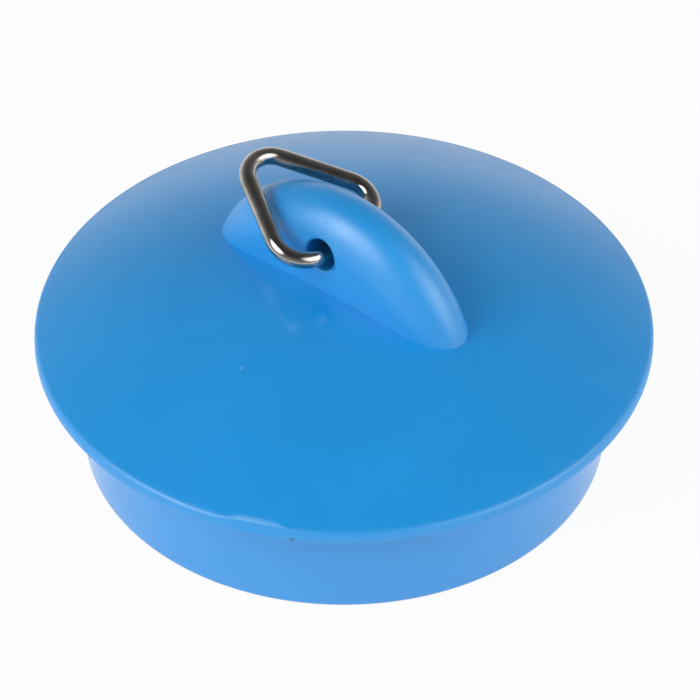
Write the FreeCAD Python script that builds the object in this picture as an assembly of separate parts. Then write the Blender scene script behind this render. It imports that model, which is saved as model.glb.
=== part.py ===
# Sink plug with a lifting ring: a moulded plug body and a bent wire ring, in millimetres.
# The plug axis is Z, the skirt's bottom edge is at z = 0 and the lifting lug runs along X.
import FreeCAD, Part
import math
import os

Vector = FreeCAD.Vector

# Skirt: the tapered wall that seats in the drain
SKIRT_HEIGHT = 10.7
SKIRT_TOP_DIAMETER = 45.0
SKIRT_TAPER = 0.4
SKIRT_WALL = 2.2
SKIRT_EDGE_ROUND = 0.5

# Lid: a shallow round dome whose thin rim overhangs the skirt
RIM_OVERHANG = 3.5
RIM_BOTTOM_ROUND = 0.18
RIM_LAND = 0.22
RIM_TOP_ROUND = 0.55
LID_RISE = 6.2
LID_WALL = 2.2
SEAT_CORNER_ROUND = 0.4
CAVITY_CORNER_ROUND = 1.0

# Lug: an elliptical arch on the lid, with drafted sides and a round crest.
# Its length is taken in the plane of the rim's top edge.
LUG_LENGTH = 27.0
LUG_WIDTH = 5.9
LUG_END_WIDTH = 5.6
LUG_CREST_DEPTH = 3.7
LUG_DRAFT_DEG = 2.0
LUG_FOOT_ROUND = 0.3

# Cross hole through the lug, between the lug's foot and its crest
HOLE_MOUTH_ROUND = 0.2
HOLE_LAND = 1.48
HOLE_COVER = 2.63
HOLE_CLEARANCE = 0.7

# Ring: a wire triangle whose base side lies in the cross hole
WIRE_DIAMETER = 1.5
RING_BEND_RADIUS = 2.35
RING_BEND_INSET = 0.13
RING_BASE_ANGLE_DEG = 61.3
RING_END_GAP = 0.4
RING_LEAN_DEG = 18.7

# Worked out from the sizes above
SKIRT_TOP_RADIUS = SKIRT_TOP_DIAMETER / 2
SKIRT_BOTTOM_RADIUS = SKIRT_TOP_RADIUS - SKIRT_TAPER
CAVITY_TOP_RADIUS = SKIRT_TOP_RADIUS - SKIRT_WALL
CAVITY_BOTTOM_RADIUS = SKIRT_BOTTOM_RADIUS - SKIRT_WALL
LID_RADIUS = SKIRT_TOP_RADIUS + RIM_OVERHANG
RIM_TOP = SKIRT_HEIGHT + RIM_BOTTOM_ROUND + RIM_LAND + RIM_TOP_ROUND
LID_TOP = RIM_TOP + LID_RISE
DOME_RADIUS = (LID_RADIUS ** 2 + LID_RISE ** 2) / (2 * LID_RISE)
WIRE_RADIUS = WIRE_DIAMETER / 2
HOLE_RADIUS = WIRE_RADIUS + HOLE_CLEARANCE
HOLE_HEIGHT = LID_TOP + LUG_FOOT_ROUND + HOLE_LAND + HOLE_MOUTH_ROUND + HOLE_RADIUS
LUG_TOP = HOLE_HEIGHT + HOLE_RADIUS + HOLE_COVER
LUG_HEIGHT = LUG_TOP - RIM_TOP

# How the lug is drawn: sections in a fan about the arch's centre line, each ending near that line
LUG_SECTIONS = 17
LUG_FAN_DEG = 96.0
LUG_SECTION_END = 1.3
CREST_POINTS = 9
WALL_POINTS = 4
EDGE_SAMPLES = 9
TOUCH = 0.005


def lid_height(radius):
    """Height of the lid's top surface, a part of a ball."""
    return LID_TOP - DOME_RADIUS + math.sqrt(DOME_RADIUS ** 2 - radius ** 2)


def profile_line(start, end):
    """Straight side of a turned profile between two (radius, height) points."""
    return Part.makeLine(Vector(start[0], 0, start[1]), Vector(end[0], 0, end[1]))


def dome_arc(outer_radius, drop):
    """Arc of the lid's profile from a radius to the plug axis, lowered by a drop."""
    radii = (outer_radius, outer_radius / 2, 0.0)
    points = [Vector(radius, 0, lid_height(radius) - drop) for radius in radii]
    return Part.Arc(*points).toShape()


def turn(profile):
    """Solid turned about the plug axis from a closed profile."""
    face = Part.Face(Part.Wire(profile))
    return face.revolve(Vector(0, 0, 0), Vector(0, 0, 1), 360)


def make_cavity(roof):
    """Hollow under the lid, leaving a roof of this thickness."""
    foot = (0.0, 0.0)
    bottom = (CAVITY_BOTTOM_RADIUS, 0.0)
    corner = (CAVITY_TOP_RADIUS, lid_height(CAVITY_TOP_RADIUS) - roof)
    top = (0.0, LID_TOP - roof)
    return turn([
        profile_line(foot, bottom),
        profile_line(bottom, corner),
        dome_arc(CAVITY_TOP_RADIUS, roof),
        profile_line(top, foot),
    ])


def round_edge(shape, radius, height, size):
    """Round the circular edge at one radius and height about the plug axis."""
    edges = []
    for edge in shape.Edges:
        if edge.Degenerated or not edge.Closed:
            continue
        point = edge.valueAt(edge.FirstParameter)
        off_radius = abs(math.hypot(point.x, point.y) - radius)
        off_height = abs(point.z - height)
        if max(off_radius, off_height) < TOUCH:
            edges.append(edge)
    return shape.makeFillet(size, edges)


def make_cup():
    """Lid and skirt as one turned shell."""
    foot = (0.0, 0.0)
    skirt_bottom = (SKIRT_BOTTOM_RADIUS, 0.0)
    skirt_top = (SKIRT_TOP_RADIUS, SKIRT_HEIGHT)
    rim_bottom = (LID_RADIUS, SKIRT_HEIGHT)
    rim_top = (LID_RADIUS, RIM_TOP)
    cup = turn([
        profile_line(foot, skirt_bottom),
        profile_line(skirt_bottom, skirt_top),
        profile_line(skirt_top, rim_bottom),
        profile_line(rim_bottom, rim_top),
        dome_arc(LID_RADIUS, 0.0),
        profile_line((0.0, LID_TOP), foot),
    ])
    cup = cup.cut(make_cavity(LID_WALL))
    cup = round_edge(cup, *rim_top, RIM_TOP_ROUND)
    cup = round_edge(cup, *rim_bottom, RIM_BOTTOM_ROUND)
    cup = round_edge(cup, *skirt_top, SEAT_CORNER_ROUND)
    cup = round_edge(cup, *skirt_bottom, SKIRT_EDGE_ROUND)
    cup = round_edge(cup, CAVITY_BOTTOM_RADIUS, 0.0, SKIRT_EDGE_ROUND)
    corner_height = lid_height(CAVITY_TOP_RADIUS) - LID_WALL
    return round_edge(cup, CAVITY_TOP_RADIUS, corner_height, CAVITY_CORNER_ROUND)


def lug_reach(angle):
    """Distance from the arch's centre to its crest, at an angle from upright."""
    along = math.sin(angle) / (LUG_LENGTH / 2)
    up = math.cos(angle) / LUG_HEIGHT
    return 1 / math.hypot(along, up)


def lug_half_width(depth, angle):
    """Half width of the lug at a depth below its crest, narrower towards the ends."""
    end_share = min(abs(angle) / (math.pi / 2), 1.0)
    full = (LUG_WIDTH + (LUG_END_WIDTH - LUG_WIDTH) * end_share ** 2) / 2
    crest_share = max(1 - depth / LUG_CREST_DEPTH, 0.0)
    draft = depth * math.tan(math.radians(LUG_DRAFT_DEG))
    return full * math.sqrt(1 - crest_share ** 2) + draft


def lug_section(angle):
    """Closed outline of the lug in the plane that leans at an angle from upright."""
    reach = lug_reach(angle)
    outwards = Vector(math.sin(angle), 0, math.cos(angle))
    depths = []
    for step in range(CREST_POINTS):
        turned = math.pi / 2 * step / CREST_POINTS
        depths.append(LUG_CREST_DEPTH * (1 - math.cos(turned)))
    wall = reach - LUG_SECTION_END - LUG_CREST_DEPTH
    for step in range(WALL_POINTS + 1):
        depths.append(LUG_CREST_DEPTH + wall * step / WALL_POINTS)
    near_side = []
    far_side = []
    for depth in depths:
        middle = Vector(0, 0, RIM_TOP) + outwards * (reach - depth)
        half = Vector(0, lug_half_width(depth, angle), 0)
        near_side.append(middle - half)
        far_side.append(middle + half)
    outline = Part.BSplineCurve()
    outline.interpolate(near_side[:0:-1] + far_side)
    return Part.Wire([outline.toShape(), Part.makeLine(far_side[-1], near_side[-1])])


def make_lug():
    """Lug as a lofted arch, cut off halfway through the lid's wall."""
    half_fan = math.radians(LUG_FAN_DEG)
    step_angle = 2 * half_fan / (LUG_SECTIONS - 1)
    sections = [lug_section(step * step_angle - half_fan) for step in range(LUG_SECTIONS)]
    arch = Part.makeLoft(sections, True, False)
    return arch.cut(make_cavity(LID_WALL / 2))


def is_lug_foot(edge):
    """True for an edge that lies on the lid's top surface, where the lug stands."""
    if edge.Degenerated:
        return False
    for point in edge.discretize(EDGE_SAMPLES):
        radius = math.hypot(point.x, point.y)
        if radius > LUG_LENGTH / 2 or abs(point.z - lid_height(radius)) > TOUCH:
            return False
    return True


def is_hole_mouth(edge):
    """True for an edge that runs round the cross hole on one side of the lug."""
    if edge.Degenerated:
        return False
    for point in edge.discretize(EDGE_SAMPLES):
        off_axis = math.hypot(point.x, point.z - HOLE_HEIGHT)
        if abs(off_axis - HOLE_RADIUS) > TOUCH:
            return False
    return edge.BoundBox.YLength < HOLE_RADIUS


def make_plug_body():
    """Cup and lug in one moulding, with the cross hole for the ring."""
    body = make_cup().fuse(make_lug())
    foot = [edge for edge in body.Edges if is_lug_foot(edge)]
    body = body.makeFillet(LUG_FOOT_ROUND, foot)
    hole_start = Vector(0, -LUG_WIDTH, HOLE_HEIGHT)
    body = body.cut(Part.makeCylinder(HOLE_RADIUS, 2 * LUG_WIDTH, hole_start, Vector(0, 1, 0)))
    mouths = [edge for edge in body.Edges if is_hole_mouth(edge)]
    return body.makeFillet(HOLE_MOUTH_ROUND, mouths).Solids[0]


def bend_points(before, corner, after):
    """Start, middle and end of the round bend at a corner of the ring."""
    back = (before - corner).normalize()
    ahead = (after - corner).normalize()
    half_angle = back.getAngle(ahead) / 2
    tangent = RING_BEND_RADIUS / math.tan(half_angle)
    to_middle = RING_BEND_RADIUS / math.sin(half_angle) - RING_BEND_RADIUS
    inwards = (back + ahead).normalize()
    return corner + back * tangent, corner + inwards * to_middle, corner + ahead * tangent


def make_triangle_ring():
    """Wire bent to a triangle that leans towards -X, its cut ends meeting in the cross hole."""
    lug_width_at_hole = 2 * lug_half_width(LUG_TOP - HOLE_HEIGHT, 0.0)
    straight = lug_width_at_hole - 2 * RING_BEND_INSET
    base_angle = math.radians(RING_BASE_ANGLE_DEG)
    half_base = straight / 2 + RING_BEND_RADIUS / math.tan(base_angle / 2)
    lean = math.radians(RING_LEAN_DEG)
    out = Vector(-math.cos(lean), 0, math.sin(lean))
    across = Vector(0, 1, 0)
    centre = Vector(0, 0, HOLE_HEIGHT)
    stops = [
        centre + across * (RING_END_GAP / 2),
        centre + across * half_base,
        centre + out * (half_base * math.tan(base_angle)),
        centre - across * half_base,
        centre - across * (RING_END_GAP / 2),
    ]
    path = []
    start = stops[0]
    for before, corner, after in zip(stops, stops[1:], stops[2:]):
        bend = bend_points(before, corner, after)
        path.append(Part.makeLine(start, bend[0]))
        path.append(Part.Arc(*bend).toShape())
        start = bend[2]
    path.append(Part.makeLine(start, stops[-1]))
    wire_end = Part.Wire(Part.makeCircle(WIRE_RADIUS, stops[0], across))
    return Part.Wire(path).makePipeShell([wire_end], True, False)


os.makedirs("parts", exist_ok=True)
make_plug_body().exportStep("parts/plug_body.step")
make_triangle_ring().exportStep("parts/triangle_ring.step")
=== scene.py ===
# %% [markdown]
# # Dressing a drain stopper
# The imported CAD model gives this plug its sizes, its two pieces and the hinge of its ring. Here
# both pieces get a clean mesh of four-sided faces and a finish: soft glossy PVC for the plug,
# bright plated wire for the ring. Everything is in the CAD model's own frame, so nothing has to be
# fitted by eye.

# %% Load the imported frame
import math

import bmesh
import bpy
import numpy as np
from mathutils import Matrix, Vector


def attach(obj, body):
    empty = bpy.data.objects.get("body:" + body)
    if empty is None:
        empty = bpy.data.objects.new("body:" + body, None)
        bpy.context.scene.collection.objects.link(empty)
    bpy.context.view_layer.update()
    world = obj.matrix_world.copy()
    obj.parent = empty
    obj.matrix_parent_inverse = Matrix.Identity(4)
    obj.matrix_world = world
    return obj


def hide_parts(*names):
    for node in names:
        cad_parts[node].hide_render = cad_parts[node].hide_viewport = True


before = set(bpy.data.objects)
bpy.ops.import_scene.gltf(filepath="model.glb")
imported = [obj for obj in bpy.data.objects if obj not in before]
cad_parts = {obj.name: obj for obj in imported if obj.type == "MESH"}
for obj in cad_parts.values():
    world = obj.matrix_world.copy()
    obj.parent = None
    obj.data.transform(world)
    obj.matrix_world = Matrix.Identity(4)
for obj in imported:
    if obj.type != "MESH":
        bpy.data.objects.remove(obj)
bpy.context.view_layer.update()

# %% [markdown]
# ## The lid
# A turned moulding is easiest to describe in millimetres: how wide and how high each step of its
# profile is. The sizes here are the same as in the CAD source, and one factor turns them into
# Blender's metres at the end. The lid is a slice of a large ball, so one short formula gives its
# height at any radius.

# %% Sizes of the lid, in millimetres
MM = 0.001
LID_RADIUS = 26.0
RIM_TOP = 11.65
LID_RISE = 6.2
LID_TOP = RIM_TOP + LID_RISE
DOME_RADIUS = (LID_RADIUS ** 2 + LID_RISE ** 2) / (2 * LID_RISE)
DOME_CENTRE = LID_TOP - DOME_RADIUS


def lid_height(radius):
    """Height of the lid's ball at a distance from the plug's axis."""
    return DOME_CENTRE + np.sqrt(DOME_RADIUS ** 2 - radius ** 2)


print("lid rises from", RIM_TOP, "to", LID_TOP, "mm, on a ball of", round(DOME_RADIUS, 1),
      "mm radius")

# %% [markdown]
# ## The lug as a bent strip
# The lifting lug is an elliptical arch with a round crest and slightly drafted sides. Seen from the
# side it is a fan: every section stands on a ray from the arch's centre. Unrolled, its skin is a
# strip with two coordinates, the way along the crest and the way down across it, and that is how
# its mesh is laid out here. A boolean of solids would be quicker to write, but it leaves long thin
# triangles that show in a glossy finish.

# %% Map from the unrolled strip to the lug's skin
LUG_HALF_LENGTH = 13.5
LUG_TOP = 25.36
LUG_HALF_WIDTH = 2.95
LUG_END_HALF_WIDTH = 2.8
CREST_DEPTH = 3.7
CREST_ARC = CREST_DEPTH * math.pi / 2
DRAFT = math.tan(math.radians(2.0))
FAN_LIMIT = 100.0
FAN_RAYS = 2001


def lug_reach(angle):
    """Distance from the arch's centre to the crest, on a ray at an angle from upright."""
    return 1 / np.hypot(np.sin(angle) / LUG_HALF_LENGTH, np.cos(angle) / (LUG_TOP - RIM_TOP))


def lug_full_half_width(angle):
    """Half of the lug's width below its round crest, which is a little less at the ends."""
    end_share = np.minimum(np.abs(angle) / (math.pi / 2), 1.0)
    return LUG_HALF_WIDTH + (LUG_END_HALF_WIDTH - LUG_HALF_WIDTH) * end_share ** 2


fan_angles = np.radians(np.linspace(-FAN_LIMIT, FAN_LIMIT, FAN_RAYS))
crest_steps = np.hypot(np.diff(lug_reach(fan_angles) * np.sin(fan_angles)),
                       np.diff(lug_reach(fan_angles) * np.cos(fan_angles)))
crest_way = np.concatenate([[0.0], np.cumsum(crest_steps)])
crest_way -= crest_way[-1] / 2


def lug_skin(along, across):
    """Points of the lug's skin, from the way along its crest and the way down across it."""
    angle = np.interp(along, crest_way, fan_angles)
    down = np.abs(across) / CREST_ARC
    roll = np.minimum(down, 1.0) * math.pi / 2
    depth = CREST_DEPTH * (1 - np.cos(roll)) + np.maximum(down - 1, 0.0) * CREST_ARC
    half = lug_full_half_width(angle) * np.sin(roll) + depth * DRAFT
    out = lug_reach(angle) - depth
    return np.stack([out * np.sin(angle), np.sign(across) * half, RIM_TOP + out * np.cos(angle)],
                    axis=-1)


print("crest is", round(2 * crest_way[-1], 1), "mm long, unrolled")

# %% [markdown]
# ## Rows and columns
# All the plug's faces lie in one grid. Its columns start on the lug's crest, run down the lug, out
# over the lid, round the rim and on into the hollow, so every column is a line a finger could
# follow from top to underside. Along the lug they lie side by side, and round its two ends they
# spread like the ribs of a fan.

# %% Columns round the lug
SIDE_COLUMNS = 92
END_COLUMNS = 68
RIDGE_HALF = 10.3

end_fan = np.radians(np.linspace(-90.0, 90.0, END_COLUMNS, endpoint=False))
side_way = np.linspace(RIDGE_HALF, -RIDGE_HALF, SIDE_COLUMNS, endpoint=False)
quarter = np.full(SIDE_COLUMNS, math.pi / 2)
start_along = np.concatenate([np.full(END_COLUMNS, RIDGE_HALF), side_way,
                              np.full(END_COLUMNS, -RIDGE_HALF), -side_way])
heading = np.concatenate([end_fan, quarter, end_fan + math.pi, -quarter])
COLUMNS = len(heading)
circle_angle = 2 * math.pi * (np.arange(COLUMNS) - END_COLUMNS / 2) / COLUMNS
circle = np.stack([np.cos(circle_angle), np.sin(circle_angle)], axis=1)
print(COLUMNS, "columns:", SIDE_COLUMNS, "along each side of the lug,", END_COLUMNS,
      "round each end")

# %% [markdown]
# ## Where the lug ends
# The lug's foot is the line where its columns run into the lid. No short formula gives that line,
# so every column is followed down in steps that halve each time, and a step is taken only if it
# still ends above the lid.

# %% Way from the ridge to the foot, down each column
FOOT_SEARCH = 16.0
HALVINGS = 29
ON_CREST = 1e-9


def down_column(distance):
    """Points on the lug, a distance from the ridge down each column."""
    across = distance * np.sin(heading)
    across = np.where(np.abs(across) < ON_CREST, 0.0, across)
    return lug_skin(start_along + distance * np.cos(heading), across)


foot_distance = np.zeros(COLUMNS)
for step in FOOT_SEARCH * 0.5 ** np.arange(1, HALVINGS + 1):
    points = down_column(foot_distance + step)
    above = points[:, 2] > lid_height(np.hypot(points[:, 0], points[:, 1]))
    foot_distance += np.where(above, step, 0.0)
print("from ridge to foot", foot_distance.min().round(2), "to", foot_distance.max().round(2), "mm")

# %% [markdown]
# ## One smooth skin over lug and lid
# The lug rises out of the lid in a tight inner corner, only as round as the edge of the mould
# insert that formed it. Both surfaces are written as distances, and a rounded union of the two
# distances gives one skin with that corner. Every vertex of the upper rows is then drawn along the
# slope onto that skin, by a few steps of Newton's method.

# %% Distance to the rounded skin, and a helper that draws points onto it
FOOT_ROUND = 0.01
PROBE = 1e-4
NEWTON_STEPS = 8
LEAST_SLOPE = 0.05


def skin_distance(points):
    """How far points lie outside the skin, or inside it where the distance is negative."""
    x, y, z = points[:, 0], np.abs(points[:, 1]), points[:, 2]
    angle = np.arctan2(x, z - RIM_TOP)
    depth = lug_reach(angle) - np.hypot(x, z - RIM_TOP)
    half = lug_full_half_width(angle)
    aside = np.maximum(y - np.maximum(depth, 0.0) * DRAFT, 0.0)
    to_lug = (np.hypot(np.maximum(1 - depth / CREST_DEPTH, 0.0), aside / half) - 1) * half
    to_lid = np.sqrt(x ** 2 + y ** 2 + (z - DOME_CENTRE) ** 2) - DOME_RADIUS
    rounding = np.hypot(np.maximum(FOOT_ROUND - to_lug, 0.0), np.maximum(FOOT_ROUND - to_lid, 0.0))
    return np.maximum(FOOT_ROUND, np.minimum(to_lug, to_lid)) - rounding


def onto_skin(points):
    """The points, drawn along the slope onto the skin."""
    points = points.copy()
    for _ in range(NEWTON_STEPS):
        here = skin_distance(points)
        rise = [skin_distance(points + PROBE * axis) - skin_distance(points - PROBE * axis)
                for axis in np.eye(3)]
        slope = np.stack(rise, axis=1) / (2 * PROBE)
        steepness = np.maximum((slope ** 2).sum(axis=1), LEAST_SLOPE)
        points -= slope * (here / steepness)[:, None]
    return points


arch_top = np.array([[0.0, 0.0, LUG_TOP]])
print("top of the arch lies", round(abs(float(skin_distance(arch_top)[0])), 6), "mm off the skin")

# %% [markdown]
# ## Rows on lug and lid
# The rows follow the columns downwards: evenly over the lug, then a few close together on both
# sides of the foot, so that its corner stays crisp, and then evenly out over the lid, until the
# last one is a true circle.

# %% Rows from the crest to the open lid
LUG_ROWS = 26
FOOT_REACH = 0.12
FOOT_ROWS = 5
SPREAD_ROWS = 14
SPREAD_RADIUS = 17.0

rows = [down_column(share * (foot_distance - FOOT_REACH))
        for share in np.linspace(0.0, 1.0, LUG_ROWS, endpoint=False)]
rows += [down_column(foot_distance - back)
         for back in np.linspace(FOOT_REACH, 0.0, FOOT_ROWS, endpoint=False)]
foot = down_column(foot_distance)[:, :2]
outer = SPREAD_RADIUS * circle
lid_way = np.linalg.norm(outer - foot, axis=1)
near_share = FOOT_REACH / lid_way
near_steps = np.linspace(0.0, FOOT_REACH, FOOT_ROWS, endpoint=False)[:, None] / lid_way
far_steps = near_share + np.linspace(0.0, 1.0, SPREAD_ROWS)[:, None] * (1 - near_share)
for share in np.concatenate([near_steps, far_steps]):
    flat = foot + (outer - foot) * share[:, None]
    rows.append(np.column_stack([flat, lid_height(np.hypot(*flat.T))]))
rows = [onto_skin(row) for row in rows]
worst = max(np.abs(skin_distance(row)).max() for row in rows)
print(len(rows), "rows on lug and lid, farthest from the skin by", f"{worst:.1e}", "mm")

# %% [markdown]
# ## Arcs and straights
# Real moulded edges catch a line of light, and a sharp mesh edge never does. So every corner of the
# plug's profile is rounded with a short arc. A bent wire is a line of arcs and straights too, so
# the same two helpers serve for the ring later on.

# %% Helpers for the points of arcs and straights
ARC_STEPS = 6


def rounded(corner_before, corner, corner_after, radius, steps=ARC_STEPS):
    """Points of the arc that rounds one corner of a line."""
    before, here, after = (np.array(p) for p in (corner_before, corner, corner_after))
    back = (before - here) / np.linalg.norm(before - here)
    ahead = (after - here) / np.linalg.norm(after - here)
    half_angle = math.acos(float(np.clip(back @ ahead, -1, 1))) / 2
    inward = (back + ahead) / np.linalg.norm(back + ahead)
    middle = here + inward * radius / math.sin(half_angle)
    first = here + back * radius / math.tan(half_angle) - middle
    last = here + ahead * radius / math.tan(half_angle) - middle
    shares = np.linspace(0.0, 1.0, steps + 1)[:, None]
    return [tuple(middle + radius * p / np.linalg.norm(p))
            for p in first * (1 - shares) + last * shares]


def straight(start, end, steps):
    """Points between two points of a line, without the two themselves."""
    start, end = np.array(start), np.array(end)
    return [tuple(start + (end - start) * k / steps) for k in range(1, steps)]


print("a corner of the profile gets", ARC_STEPS + 1, "points")

# %% [markdown]
# ## The rim's upper edge
# The dome doesn't end in a plain arc. It leads over to the rim's upright edge in an easy curve that
# reaches farther down than in. A parabola between the two tangents gives such a curve in one line.

# %% Curve from the dome to the rim's edge
RIM_ROLL = 0.32
RIM_DROP = 0.6
ROLL_STEPS = 16

roll_start = LID_RADIUS - RIM_ROLL
roll_height = lid_height(roll_start)
roll_slope = roll_start / (roll_height - DOME_CENTRE)
start, end = np.array([roll_start, roll_height]), np.array([LID_RADIUS, RIM_TOP - RIM_DROP])
pull = np.array([LID_RADIUS, roll_height - roll_slope * RIM_ROLL])
shares = np.linspace(0.0, 1.0, ROLL_STEPS + 1)[:, None]
roll = start * (1 - shares) ** 2 + pull * 2 * shares * (1 - shares) + end * shares ** 2
print("rim rolls over from", round(float(roll_height), 2), "down to", round(float(end[1]), 2), "mm")

# %% [markdown]
# ## The turned part
# Lid edge, rim, skirt and hollow are the same all round, as on a lathe, so each row there is a
# circle given by one radius and one height. The profile runs from the lid over the rim, along the
# flat seat, down the skirt, and up inside it to the middle of the hollow's roof, one wall below
# the lid.

# %% Profile of rim, skirt and hollow
SKIRT_HEIGHT = 10.7
SKIRT_TOP_RADIUS = 22.5
SKIRT_BOTTOM_RADIUS = 22.1
WALL = 2.2
ROOF_RUN = 2.0
CORNER_ROUNDS = {"rim bottom": 0.18, "seat corner": 0.4, "skirt edge": 0.5, "hollow edge": 0.5,
                 "hollow corner": 1.0}
LID_ROWS = 14
STRAIGHT_STEPS = 7
ROOF_ROWS = 12

inner_bottom = SKIRT_BOTTOM_RADIUS - WALL
inner_top = SKIRT_TOP_RADIUS - WALL
roof_radius = inner_top - ROOF_RUN
corners = {
    "rim top": (LID_RADIUS, RIM_TOP),
    "rim bottom": (LID_RADIUS, SKIRT_HEIGHT),
    "seat corner": (SKIRT_TOP_RADIUS, SKIRT_HEIGHT),
    "skirt edge": (SKIRT_BOTTOM_RADIUS, 0.0),
    "hollow edge": (inner_bottom, 0.0),
    "hollow corner": (inner_top, lid_height(inner_top) - WALL),
    "hollow roof": (roof_radius, lid_height(roof_radius) - WALL),
}
names = list(corners)
profile = [(r, lid_height(r)) for r in np.linspace(SPREAD_RADIUS, roll_start, LID_ROWS)[1:-1]]
profile += [tuple(p) for p in roll]
for before, name, after in zip(names, names[1:], names[2:]):
    arc = rounded(corners[before], corners[name], corners[after], CORNER_ROUNDS[name])
    profile += straight(profile[-1], arc[0], STRAIGHT_STEPS) + arc
roof_start = profile[-1][0]
profile += [(r, lid_height(r) - WALL) for r in np.linspace(roof_start, 0.0, ROOF_ROWS)[1:]]
rows += [np.column_stack([radius * circle, np.full(COLUMNS, height)]) for radius, height in profile]
skin = np.array(rows)
print(len(profile), "turned rows,", len(skin), "rows in all")

# %% [markdown]
# ## Where the gate was trimmed
# The plastic entered the mould at one place on the rim, and the stub was cut off there by hand. The
# cut leaves a short flat on an otherwise round rim. Every point that stands out beyond the cutting
# plane is pressed back onto it.

# %% Trim flat on the rim
GATE_ANGLE = math.radians(-66.3)
GATE_HALF_WIDTH = 1.75
GATE_TILT = math.radians(24.0)
GATE_REACH = math.radians(10.0)

gate_way = np.array([math.cos(GATE_ANGLE), math.sin(GATE_ANGLE)])
edge_radius = math.sqrt(LID_RADIUS ** 2 - GATE_HALF_WIDTH ** 2)
outward = np.array([*gate_way * math.cos(GATE_TILT), math.sin(GATE_TILT)])
gate_middle = np.array([*gate_way * edge_radius, RIM_TOP - RIM_DROP])
beyond = np.maximum((skin - gate_middle) @ outward, 0.0)
near_gate = np.abs(np.arctan2(skin[..., 1], skin[..., 0]) - GATE_ANGLE) < GATE_REACH
beyond = np.where(near_gate & (skin[..., 2] > SKIRT_HEIGHT), beyond, 0.0)
skin = skin - beyond[..., None] * outward
print("gate flat takes", round(float(beyond.max()), 3), "mm off", int((beyond > 0).sum()), "points")

# %% [markdown]
# ## Room for the cross hole
# A hole in a grid is made by taking out a block of faces and leading the block's edge into a
# circle. The two blocks lie opposite each other on the lug's sides, and the edges of both are
# listed in the same order, so that a tube can join them later.

# %% Blocks taken out of the grid
BLOCK_TOP = 11
BLOCK_BOTTOM = LUG_ROWS
BLOCK_HALF = 10


def block_edge(middle_column, way):
    """Grid places round the block on one side of the lug, in the same order on both sides."""
    columns = [middle_column + way * k for k in range(-BLOCK_HALF, BLOCK_HALF + 1)]
    top = [(BLOCK_TOP, c) for c in columns[:-1]]
    right = [(r, columns[-1]) for r in range(BLOCK_TOP, BLOCK_BOTTOM)]
    bottom = [(BLOCK_BOTTOM, c) for c in columns[:0:-1]]
    left = [(r, columns[0]) for r in range(BLOCK_BOTTOM, BLOCK_TOP, -1)]
    return top + right + bottom + left


far_middle = END_COLUMNS + SIDE_COLUMNS // 2
near_middle = far_middle + END_COLUMNS + SIDE_COLUMNS
block_edges = {1: block_edge(far_middle, -1), -1: block_edge(near_middle, 1)}
blocked = {(row, column) for middle in (far_middle, near_middle)
           for row in range(BLOCK_TOP, BLOCK_BOTTOM)
           for column in range(middle - BLOCK_HALF, middle + BLOCK_HALF)}
print("two blocks of", len(blocked), "faces in all, with", len(block_edges[1]), "edges each")

# %% [markdown]
# ## The hole's mouths
# Loops of points lead from each block's edge to the hole and keep to four-sided faces. The mouth
# is rolled in with a small radius, as the mould's core pin leaves it.

# %% Loops from the block's edge into the hole
HOLE_HEIGHT = 21.28
HOLE_RADIUS = 1.45
MOUTH_ROUND = 0.2
BETWEEN_LOOPS = 3

verts = list(skin.reshape(-1, 3))
faces = []


def add_loop(points):
    """Adds the points of a loop to the plug's points and gives their numbers."""
    first = len(verts)
    verts.extend(points)
    return list(range(first, len(verts)))


def loop_faces(loops):
    """Four-sided faces between closed loops of point numbers, each loop with the next one."""
    return [(before[k], before[(k + 1) % len(before)], after[(k + 1) % len(after)], after[k])
            for before, after in zip(loops, loops[1:]) for k in range(len(before))]


def round_hole(flat, depth):
    """Points round the hole's axis, from their places across it and along it."""
    return np.column_stack([flat[:, 0], depth, flat[:, 1] + HOLE_HEIGHT])


mouths = []
for side, edge in block_edges.items():
    edge_points = np.array([skin[place] for place in edge])
    flat = edge_points[:, [0, 2]] - [0.0, HOLE_HEIGHT]
    direction = flat / np.linalg.norm(flat, axis=1)[:, None]
    mouth = direction * (HOLE_RADIUS + MOUTH_ROUND)
    loops = [[row * COLUMNS + column for row, column in edge]]
    for share in np.linspace(0.0, 1.0, BETWEEN_LOOPS + 2)[1:]:
        loop = onto_skin(round_hole(flat + (mouth - flat) * share, edge_points[:, 1]))
        loops.append(add_loop(loop))
    face_y = loop[:, 1]
    for turn in np.linspace(0.0, math.pi / 2, ARC_STEPS)[1:]:
        loop = round_hole(direction * (HOLE_RADIUS + MOUTH_ROUND * (1 - math.sin(turn))),
                          face_y - side * MOUTH_ROUND * (1 - math.cos(turn)))
        loops.append(add_loop(loop))
    faces += loop_faces(loops)
    mouths.append((loops[-1], loop))
print(len(mouths), "mouths, each of", len(loops), "loops")

# %% [markdown]
# ## The hole's tube
# The last loops of the two mouths face each other, point for point. Loops at even shares of the way
# between them make the tube that the wire lies in.

# %% Tube between the mouths
TUBE_LOOPS = 5

(far_loop, far_points), (near_loop, near_points) = mouths
tube = [far_loop]
for share in np.linspace(0.0, 1.0, TUBE_LOOPS + 1)[1:-1]:
    tube.append(add_loop(far_points + (near_points - far_points) * share))
tube.append(near_loop)
faces += loop_faces(tube)
print("tube of", len(tube), "loops,", len(verts), "points and", len(faces), "faces so far")

# %% [markdown]
# ## From grid to mesh
# The remaining faces of the grid close the skin. Doubled points, where all the columns meet on the
# crest and under the lid, are welded, and the mesh must come out without an open edge. Along the
# lug's foot the smooth shading is broken, because that corner is nearly sharp. The piece then rides
# on the plug's body in place of the CAD node.

# %% Build the plug's mesh and let it stand for the CAD node
WELD = 1e-7


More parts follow.
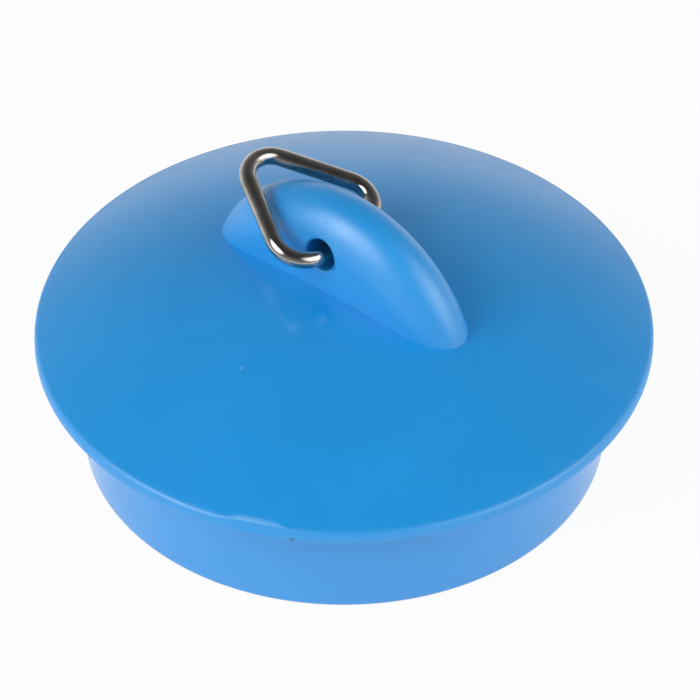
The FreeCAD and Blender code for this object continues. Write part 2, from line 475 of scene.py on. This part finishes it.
def make_piece(name, points, polygons, body, node, corner_line=()):
    """A smooth piece that rides on a body, with one sharp line of points if it has a corner."""
    mesh = bpy.data.meshes.new(name)
    mesh.from_pydata([tuple(p) for p in np.array(points) * MM], [], polygons)
    work = bmesh.new()
    work.from_mesh(mesh)
    work.verts.ensure_lookup_table()
    for first, second in zip(corner_line, corner_line[1:]):
        work.edges.get((work.verts[first], work.verts[second])).smooth = False
    bmesh.ops.remove_doubles(work, verts=work.verts, dist=WELD)
    bmesh.ops.recalc_face_normals(work, faces=work.faces)
    work.to_mesh(mesh)
    open_edges = sum(1 for e in work.edges if len(e.link_faces) != 2)
    print(name, len(work.verts), "vertices,", len(work.faces), "faces, open edges:", open_edges,
          "volume mm3:", round(work.calc_volume() / MM ** 3, 1))
    work.free()
    mesh.polygons.foreach_set("use_smooth", [True] * len(mesh.polygons))
    piece = bpy.data.objects.new(name, mesh)
    bpy.context.scene.collection.objects.link(piece)
    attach(piece, body)
    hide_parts(node)
    return piece


numbers = np.arange(len(skin) * COLUMNS).reshape(-1, COLUMNS).tolist()
places = [(row, column) for row in range(len(skin) - 1) for column in range(COLUMNS)]
faces += [face for place, face in zip(places, loop_faces(numbers)) if place not in blocked]
foot_row = numbers[LUG_ROWS + FOOT_ROWS]
foot_line = foot_row + foot_row[:1]
plug = make_piece("plug_moulding", verts, faces, "plug", "plug_body", foot_line)

# %% [markdown]
# ## The wire ring
# The ring is one piece of round wire, bent three times over a former and closed with its ends
# inside the lug. A curve with a bevel would give the same tube, but a swept mesh lets the bends
# flatten a little, as bent wire does, and gives the cut ends their broken edges.

# %% Path of the wire, in the ring's own plane
BEND_RADIUS = 2.35
BASE_ANGLE = math.radians(61.3)
BASE_STRAIGHT = 5.925
END_GAP = 0.4
BEND_STEPS = 28
RUN_STEPS = 12
BEND_EASE = 0.5

half_base = BASE_STRAIGHT / 2 + BEND_RADIUS / math.tan(BASE_ANGLE / 2)
stops = [(END_GAP / 2, 0.0), (half_base, 0.0), (0.0, half_base * math.tan(BASE_ANGLE)),
         (-half_base, 0.0), (-END_GAP / 2, 0.0)]
path = [stops[0]]
bend_share = [0.0]
for before, corner, after in zip(stops, stops[1:], stops[2:]):
    arc = rounded(before, corner, after, BEND_RADIUS, BEND_STEPS)
    run = straight(path[-1], arc[0], RUN_STEPS)
    path += run + arc
    bend_share += [0.0] * len(run)
    bend_share += list(np.sin(np.linspace(0.0, math.pi, len(arc))) ** BEND_EASE)
path += straight(path[-1], stops[-1], RUN_STEPS) + [stops[-1]]
bend_share += [0.0] * (len(path) - len(bend_share))
path = np.array(path)
print("wire is", round(float(np.linalg.norm(np.diff(path, axis=0), axis=1).sum()), 2), "mm long")

# %% [markdown]
# ## Sweeping the section
# A circle of points is carried along the path, always square to it. In the bends it is squeezed a
# little, and at both ends it steps in to a smaller circle and then to a point, which leaves the
# broken edge of a cut wire. The finished ring leans back on the hole's axis.

# %% Sweep the wire and close its cut ends
WIRE_RADIUS = 0.75
LEAN = math.radians(18.7)
SECTION = 40
BEND_FLATTENING = 0.03
END_CHAMFER = 0.12

tangent = np.gradient(path, axis=0)
tangent /= np.linalg.norm(tangent, axis=1)[:, None]
sideways = np.stack([tangent[:, 1], -tangent[:, 0]], axis=1)
section_angle = 2 * math.pi * np.arange(SECTION) / SECTION


def to_plug_frame(across, out, above):
    """Points of the leaning ring's own plane, in the plug's frame."""
    return np.stack([-out * math.cos(LEAN) + above * math.sin(LEAN), across,
                     HOLE_HEIGHT + out * math.sin(LEAN) + above * math.cos(LEAN)], axis=-1)


def wire_loop(centre, side, radius, squeeze=0.0):
    """Points round the wire at one place of its path."""
    flat = centre + side * (np.cos(section_angle) * radius * (1 - squeeze))[:, None]
    return to_plug_frame(flat[:, 0], flat[:, 1], np.sin(section_angle) * radius)


first_cut, last_cut = path[0].copy(), path[-1].copy()
path[0] += tangent[0] * END_CHAMFER
path[-1] -= tangent[-1] * END_CHAMFER
cut_radius = WIRE_RADIUS - END_CHAMFER
wire = [wire_loop(first_cut, sideways[0], radius) for radius in (0.0, cut_radius)]
wire += [wire_loop(centre, side, WIRE_RADIUS, BEND_FLATTENING * share)
         for centre, side, share in zip(path, sideways, bend_share)]
wire += [wire_loop(last_cut, sideways[-1], radius) for radius in (cut_radius, 0.0)]
wire_faces = loop_faces(np.arange(len(wire) * SECTION).reshape(-1, SECTION).tolist())
ring = make_piece("wire_ring", np.concatenate(wire), wire_faces, "ring", "triangle_ring")

# %% [markdown]
# ## Small helpers for shader nodes
# A finish is a small graph: textures feed the colour, the gloss and the bumps of one shader.
# Written out, every node needs several lines, so a few helpers make each of them one line and keep
# the graphs readable. These first ones add a node and reckon with values.

# %% Helpers that add nodes and reckon with values
def add_node(tree, kind, settings=(), **inputs):
    """A new shader node with its options and its named input values set."""
    node = tree.nodes.new("ShaderNode" + kind)
    for option, value in dict(settings).items():
        setattr(node, option, value)
    for socket, value in inputs.items():
        node.inputs[socket.replace("_", " ")].default_value = value
    return node


def math_node(tree, operation, first, second):
    """The output of a Math node whose two values are sockets or plain numbers."""
    node = add_node(tree, "Math", {"operation": operation})
    for slot, value in enumerate((first, second)):
        if isinstance(value, (int, float)):
            node.inputs[slot].default_value = value
        else:
            tree.links.new(value, node.inputs[slot])
    return node.outputs[0]


def vector_node(tree, operation, vector, fixed):
    """The outputs of a Vector Math node that sets a vector against a fixed one."""
    node = add_node(tree, "VectorMath", {"operation": operation})
    tree.links.new(vector, node.inputs[0])
    node.inputs[1].default_value = fixed
    return node.outputs


def spread(tree, value, start, end, low, high):
    """Maps a value smoothly from one range to another."""
    node = add_node(tree, "MapRange", {"interpolation_type": "SMOOTHSTEP"}, From_Min=start,
                    From_Max=end, To_Min=low, To_Max=high)
    tree.links.new(value, node.inputs["Value"])
    return node.outputs["Result"]


print("one millimetre is", MM, "of Blender's units")

# %% [markdown]
# ## Helpers for textures and colours
# Textures are given their real size in millimetres, so a cloud or a pin hole stays as large as it
# is on the object. Noise keeps near its middle, so only the middle part of its range is used. A
# Mix node has sockets for several kinds of values, and those for colours are picked by number.

# %% Helpers for textures, colours and bumps
NOISE_RANGE = (0.3, 0.7)
DOT_CORE = 0.5
MIX_BELOW, MIX_OVER, MIX_RESULT = 6, 7, 2


def noise(tree, where, size_mm, detail):
    """Cloudy noise whose clouds are about the given size."""
    node = add_node(tree, "TexNoise", Scale=1 / (size_mm * MM), Detail=detail)
    tree.links.new(where, node.inputs["Vector"])
    return node.outputs["Fac"]


def dots(tree, where, spacing_mm, radius_mm, share):
    """A mask of small scattered dots, set in only a share of the places where they could be."""
    cells = add_node(tree, "TexVoronoi", Scale=1 / (spacing_mm * MM))
    tree.links.new(where, cells.inputs["Vector"])
    radius = radius_mm / spacing_mm
    dot = spread(tree, cells.outputs["Distance"], radius * DOT_CORE, radius, 1.0, 0.0)
    draw = add_node(tree, "SeparateColor")
    tree.links.new(cells.outputs["Color"], draw.inputs["Color"])
    chosen = math_node(tree, "LESS_THAN", draw.outputs["Red"], share)
    return math_node(tree, "MULTIPLY", dot, chosen)


def shades(tree, value, *colours):
    """A colour between a dark and a light shade, from noise."""
    ramp = add_node(tree, "ValToRGB")
    for stop, position, colour in zip(ramp.color_ramp.elements, NOISE_RANGE, colours):
        stop.position, stop.color = position, (*colour, 1.0)
    tree.links.new(value, ramp.inputs["Fac"])
    return ramp.outputs["Color"]


def tinted(tree, mask, below, colour):
    """Lays a colour over another one where a mask is set."""
    node = add_node(tree, "Mix", {"data_type": "RGBA"})
    tree.links.new(mask, node.inputs["Factor"])
    tree.links.new(below, node.inputs[MIX_BELOW])
    node.inputs[MIX_OVER].default_value = (*colour, 1.0)
    return node.outputs[MIX_RESULT]


def bumped(tree, height, depth_mm, below=None):
    """A normal that follows a height map, laid over another one if there is one."""
    node = add_node(tree, "Bump", Strength=1.0, Distance=depth_mm * MM)
    tree.links.new(height, node.inputs["Height"])
    if below is not None:
        tree.links.new(below, node.inputs["Normal"])
    return node.outputs["Normal"]


def principled(name):
    """A new material, its node tree, its shader, and where on the piece a point lies."""
    material = bpy.data.materials.new(name)
    material.use_nodes = True
    tree = material.node_tree
    where = add_node(tree, "TexCoord").outputs["Object"]
    return material, tree, tree.nodes["Principled BSDF"], where


print("noise is used from", NOISE_RANGE[0], "to", NOISE_RANGE[1], "of its range")

# %% [markdown]
# ## Soft blue PVC
# The plug is coloured right through, with only a trace of cloudiness, and tiny pin holes from
# trapped air are strewn over it. Each of these is one texture at its real size. One speck of dust
# on the lid and one larger pin hole at the rim are given as distances from a point.

# %% Colour of the plug
PVC_DARK = (0.0125, 0.310, 0.765)
PVC_LIGHT = (0.0150, 0.328, 0.80)
# Painted shade: the pits and the rim's pin hole get this darker blue. It stands for the shade
# inside these small hollows.
PIT_PAINTED_SHADE = (0.006, 0.17, 0.45)
DUST = (0.10, 0.45, 0.85)
PVC_CLOUD, PVC_CLOUD_DETAIL = 9.0, 3.0
PIT_SPACING, PIT_RADIUS, PIT_SHARE = 1.2, 0.07, 0.5
SPECK_PLACE, SPECK_RADIUS = (0.23, -13.59, 16.22), 0.22
PIN_HOLE_PLACE, PIN_HOLE_RADIUS = (13.0, -22.5, 10.9), 0.3
SPOT_CORE = 0.4


def away_from(tree, where, place):
    """The distance from one place on the piece, which is given in millimetres."""
    return vector_node(tree, "DISTANCE", where, Vector(place) * MM)["Value"]


def spot(tree, where, place, radius_mm):
    """A mask round one place on the piece."""
    distance = away_from(tree, where, place)
    return spread(tree, distance, radius_mm * MM * SPOT_CORE, radius_mm * MM, 1.0, 0.0)


pvc, tree, shader, where = principled("blue_soft_pvc")
pits = dots(tree, where, PIT_SPACING, PIT_RADIUS, PIT_SHARE)
pin_hole = spot(tree, where, PIN_HOLE_PLACE, PIN_HOLE_RADIUS)
holes = math_node(tree, "MAXIMUM", pits, pin_hole)
speck = spot(tree, where, SPECK_PLACE, SPECK_RADIUS)
clouds = noise(tree, where, PVC_CLOUD, PVC_CLOUD_DETAIL)
colour = shades(tree, clouds, PVC_DARK, PVC_LIGHT)
# Painted shade: pits and pin hole are darkened in the colour, as shade inside them. Their bumps,
# further down, are real.
colour = tinted(tree, holes, colour, PIT_PAINTED_SHADE)
colour = tinted(tree, speck, colour, DUST)
tree.links.new(colour, shader.inputs["Base Color"])
plug.data.materials.append(pvc)
print("plug colour has", len(tree.nodes), "nodes")

# %% [markdown]
# ## The plug's gloss
# The mould is polished, so the gloss is clear, but not like glass: the skin has a faint orange peel
# and is a little uneven from handling. The lug, which fingers hold, and the rim's edge, which rubs
# on the sink, are duller than the lid. The lug is found by its distance from the middle of the
# lid's ball, and the rim by its distance from the plug's axis.

# %% Gloss and bumps of the plug
PVC_GLOSS = (0.15, 0.23)
WEAR_SIZE, WEAR_DETAIL = 2.4, 5.0
LUG_DULLING, LUG_START, LUG_FULL = 0.2, 0.01, 0.06
RIM_DULLING, RIM_START, RIM_FULL = 0.25, -0.25, 0.05
PEEL_SIZE, PEEL_DETAIL, PEEL_DEPTH = 0.9, 1.0, 0.006
PIT_DEPTH = 0.04
PVC_IOR = 1.53
PVC_SPECULAR = 0.8

gloss = spread(tree, noise(tree, where, WEAR_SIZE, WEAR_DETAIL), *NOISE_RANGE, *PVC_GLOSS)
from_ball = away_from(tree, where, (0.0, 0.0, DOME_CENTRE))
on_lug = spread(tree, from_ball, (DOME_RADIUS + LUG_START) * MM, (DOME_RADIUS + LUG_FULL) * MM,
                0.0, LUG_DULLING)
seen_from_above = vector_node(tree, "MULTIPLY", where, (1.0, 1.0, 0.0))["Vector"]
from_axis = away_from(tree, seen_from_above, (0.0, 0.0, 0.0))
on_rim = spread(tree, from_axis, (roll_start + RIM_START) * MM, (roll_start + RIM_FULL) * MM,
                0.0, RIM_DULLING)
worn = math_node(tree, "MAXIMUM", on_lug, on_rim)
tree.links.new(math_node(tree, "ADD", gloss, worn), shader.inputs["Roughness"])
peel = bumped(tree, noise(tree, where, PEEL_SIZE, PEEL_DETAIL), PEEL_DEPTH)
pitted = bumped(tree, math_node(tree, "SUBTRACT", 1.0, holes), PIT_DEPTH, peel)
tree.links.new(pitted, shader.inputs["Normal"])
shader.inputs["IOR"].default_value = PVC_IOR
shader.inputs["Specular IOR Level"].default_value = PVC_SPECULAR
print("plug finish has", len(tree.nodes), "nodes")

# %% [markdown]
# ## Bright plated wire
# The ring is steel wire with a thin bright nickel plate. It mirrors the room, so most of what shows
# on it is dark room between two bright lamps. Up close the plate is not perfect: drawing and
# bending leave it slightly uneven, and small pores have opened in it, duller and darker than the
# rest.

# %% Finish of the ring
PLATE_DARK = (0.36, 0.342, 0.318)
PLATE_LIGHT = (0.50, 0.48, 0.45)
PORE = (0.10, 0.08, 0.065)
PLATE_CLOUD, PLATE_DETAIL = 1.2, 5.0
PLATE_GLOSS = (0.03, 0.10)
GRAIN_SIZE, GRAIN_DETAIL = 0.5, 5.0
PORE_SPACING, PORE_RADIUS, PORE_SHARE = 0.5, 0.07, 0.6
PORE_DULLNESS = 0.4
RIPPLE_SIZE, RIPPLE_DETAIL, RIPPLE_DEPTH = 0.45, 3.0, 0.006

plated, tree, shader, where = principled("plated_wire")
pores = dots(tree, where, PORE_SPACING, PORE_RADIUS, PORE_SHARE)
clouds = noise(tree, where, PLATE_CLOUD, PLATE_DETAIL)
colour = tinted(tree, pores, shades(tree, clouds, PLATE_DARK, PLATE_LIGHT), PORE)
tree.links.new(colour, shader.inputs["Base Color"])
uneven = spread(tree, noise(tree, where, GRAIN_SIZE, GRAIN_DETAIL), *NOISE_RANGE, *PLATE_GLOSS)
dull_pores = math_node(tree, "MULTIPLY", pores, PORE_DULLNESS)
tree.links.new(math_node(tree, "MAXIMUM", uneven, dull_pores), shader.inputs["Roughness"])
ripple = bumped(tree, noise(tree, where, RIPPLE_SIZE, RIPPLE_DETAIL), RIPPLE_DEPTH)
tree.links.new(ripple, shader.inputs["Normal"])
shader.inputs["Metallic"].default_value = 1.0
ring.data.materials.append(plated)
print("ring finish has", len(tree.nodes), "nodes")

# %% [markdown]
# ## Camera
# The plug is seen from well above with a long lens, about half a metre away, so its round edges are
# close to true ellipses. Place, aim and focal length were found by fitting the rim's and the
# skirt's ellipses, the lug and the hole.

# %% Camera
CAMERA_PLACE = Vector((239.18, -290.03, 337.25)) * MM
CAMERA_AIM = Vector((0.242, 0.494, 8.661)) * MM
CAMERA_ROLL = math.radians(-0.133)
FOCAL_LENGTH = 304.6
SENSOR_WIDTH = 36.0
NEAREST_VIEW = 0.01

camera_data = bpy.data.cameras.new("camera")
camera_data.lens = FOCAL_LENGTH
camera_data.sensor_width = SENSOR_WIDTH
camera_data.clip_start = NEAREST_VIEW
camera = bpy.data.objects.new("camera", camera_data)
facing = (CAMERA_AIM - CAMERA_PLACE).to_track_quat("-Z", "Y").to_matrix().to_4x4()
roll_turn = Matrix.Rotation(CAMERA_ROLL, 4, "Z")
camera.matrix_world = Matrix.Translation(CAMERA_PLACE) @ facing @ roll_turn
bpy.context.scene.collection.objects.link(camera)
bpy.context.scene.camera = camera
print("camera", round((CAMERA_PLACE - CAMERA_AIM).length / MM, 1), "mm from its aim")

# %% [markdown]
# ## The floor
# The plug stands on a plain sheet that is far larger than the view. It isn't part of the object.

# %% Floor sheet
FLOOR_HALF = 2.0

floor_mesh = bpy.data.meshes.new("floor")
floor_corners = [(x * FLOOR_HALF, y * FLOOR_HALF, 0.0)
                 for x, y in ((-1, -1), (1, -1), (1, 1), (-1, 1))]
floor_mesh.from_pydata(floor_corners, [], [(0, 1, 2, 3)])
floor = bpy.data.objects.new("floor", floor_mesh)
bpy.context.scene.collection.objects.link(floor)
print("floor is", 2 * FLOOR_HALF, "m wide")

# %% [markdown]
# ## A paper sweep under a dark room
# Small things for sale are photographed on white paper that runs under them and up behind them,
# with the room in front left dark. So the floor is white wherever the camera or a reflection sees
# it, but its shine fades towards the front, where the paper ends. A part of the floor's look stays
# plain matt paper, because that part keeps the plug's soft shadow. Brighter lamps would whiten the
# floor too, but they would bleach the plug with it. Seen from below, the floor lets the view
# through, so that the plug's hollow can be looked into.

# %% Paper that is white to the eye and keeps a shadow
PAPER_WHITE = (0.92, 0.92, 0.92, 1.0)
FLOOR_GLOW = 0.94
PAPER_FRONT = Vector((0.35, -0.94, 0.0))
PAPER_FADE = (0.05, 0.22)
ROOM_SHARE = 0.3


def way_to_front(tree, vector):
    """How far a place or a direction lies towards the front of the paper."""
    return vector_node(tree, "DOT_PRODUCT", vector, PAPER_FRONT)["Value"]


def mixed(tree, share, first, second):
    """The output of a Mix Shader node, which goes from the first shader to the second."""
    node = add_node(tree, "MixShader")
    for socket, source in zip(node.inputs, (share, first, second)):
        tree.links.new(source, socket)
    return node.outputs[0]


paper = bpy.data.materials.new("white_paper")
paper.use_nodes = True
floor_mesh.materials.append(paper)
tree = paper.node_tree
tree.nodes.clear()
ray = add_node(tree, "LightPath").outputs
surface = add_node(tree, "NewGeometry").outputs
mirrored = math_node(tree, "MAXIMUM", ray["Is Glossy Ray"], ray["Is Transmission Ray"])
seen = math_node(tree, "MAXIMUM", ray["Is Camera Ray"], mirrored)
fade = spread(tree, way_to_front(tree, surface["Position"]), *PAPER_FADE, 1.0, ROOM_SHARE)
glow = add_node(tree, "Emission")
tree.links.new(math_node(tree, "MAXIMUM", fade, ray["Is Camera Ray"]), glow.inputs["Strength"])
matt = add_node(tree, "BsdfDiffuse", Color=PAPER_WHITE)
glow_share = math_node(tree, "MULTIPLY", seen, FLOOR_GLOW)
from_above = mixed(tree, glow_share, matt.outputs[0], glow.outputs[0])
from_below = add_node(tree, "BsdfTransparent").outputs[0]
one_sided = mixed(tree, surface["Backfacing"], from_above, from_below)
tree.links.new(one_sided, add_node(tree, "OutputMaterial").inputs["Surface"])
print("floor keeps", round(1 - FLOOR_GLOW, 2), "of its look for the shadow")

# %% [markdown]
# ## Soft lamps
# Two diffuser boxes light the plug: one at the left, whose shine lies on the lug's near shoulder,
# and a wider one at the right, which draws the streak down the lug's end. A real diffuser is bright
# in the middle and dim at its edge. A plain area lamp is even all over and gives reflections with
# hard edges, so its brightness is faded here by the distance from its middle.

# %% Area lamps that fade towards their edges
LAMPS = {
    "left_softbox": {"azimuth": -19.0, "elevation": 36.0, "distance": 0.5,
                     "width": 0.52, "height": 0.56, "power": 5.4},
    "right_softbox": {"azimuth": 104.0, "elevation": 31.0, "distance": 0.5,
                      "width": 0.80, "height": 0.60, "power": 4.3},
}
BRIGHT_CORE = 0.25


def fade_to_edge(data, middle, right, up):
    """Lets a lamp's brightness fall from its middle to its edges."""
    data.use_nodes = True
    tree = data.node_tree
    place = add_node(tree, "NewGeometry").outputs["Position"]
    from_middle = vector_node(tree, "SUBTRACT", place, middle)["Vector"]
    squares = []
    for axis, size in ((right, data.size), (up, data.size_y)):
        along = vector_node(tree, "DOT_PRODUCT", from_middle, axis * 2 / size)["Value"]
        squares.append(math_node(tree, "MULTIPLY", along, along))
    distance = math_node(tree, "SQRT", math_node(tree, "ADD", *squares), 0.0)
    strength = spread(tree, distance, BRIGHT_CORE, 1.0, 1.0, 0.0)
    tree.links.new(strength, tree.nodes["Emission"].inputs["Strength"])


for name, box in LAMPS.items():
    data = bpy.data.lights.new(name, "AREA")
    data.shape = "RECTANGLE"
    data.size, data.size_y, data.energy = box["width"], box["height"], box["power"]
    turn, tilt = math.radians(box["azimuth"]), math.radians(box["elevation"])
    way = (math.sin(turn) * math.cos(tilt), -math.cos(turn) * math.cos(tilt), math.sin(tilt))
    middle = Vector(way) * box["distance"]
    facing = (-middle).to_track_quat("-Z", "Y").to_matrix()
    fade_to_edge(data, middle, facing.col[0], facing.col[1])
    lamp = bpy.data.objects.new(name, data)
    lamp.matrix_world = Matrix.Translation(middle) @ facing.to_4x4()
    bpy.context.scene.collection.objects.link(lamp)
    print(name, "at", [round(c, 3) for c in middle])

# %% [markdown]
# ## White round the horizon, dim overhead
# The white paper rises behind the plug, and above it the room is dark. A domed lid shows that whole
# fall in its far half: pale at the far edge, which mirrors the paper, and deep blue in the middle,
# which mirrors the ceiling. A falling power of the height gives it without a seam. The camera
# itself sees plain white.

# %% World that falls from white at the horizon to a dim ceiling
HORIZON_LEVEL = 1.1
CEILING_SHARE = 0.075
ROOM_SHARE_ABOVE = 0.5
BACKDROP_TURN = (-0.4, 0.6)

world = bpy.data.worlds.new("studio")
bpy.context.scene.world = world
world.use_nodes = True
tree = world.node_tree
background = tree.nodes["Background"]
outlook = add_node(tree, "TexCoord").outputs["Generated"]
horizon = spread(tree, way_to_front(tree, outlook), *BACKDROP_TURN, HORIZON_LEVEL,
                 HORIZON_LEVEL * ROOM_SHARE_ABOVE)
upward = add_node(tree, "SeparateXYZ")
tree.links.new(outlook, upward.inputs[0])
climb = math_node(tree, "MAXIMUM", upward.outputs["Z"], 0.0)
sky = math_node(tree, "MULTIPLY", horizon, math_node(tree, "POWER", CEILING_SHARE, climb))
ray = add_node(tree, "LightPath").outputs
strength = math_node(tree, "MAXIMUM", sky, ray["Is Camera Ray"])
tree.links.new(strength, background.inputs["Strength"])
background.inputs["Color"].default_value = (1.0, 1.0, 1.0, 1.0)
print("world from", HORIZON_LEVEL, "behind to", round(HORIZON_LEVEL * CEILING_SHARE, 2), "overhead")

# %% [markdown]
# ## Colours as they are written
# The Standard view shows colours as they are written, while Blender's default view softens the
# bright ones, as film does.

# %% Set the view
bpy.context.scene.view_settings.view_transform = "Standard"
print("view transform is", bpy.context.scene.view_settings.view_transform)
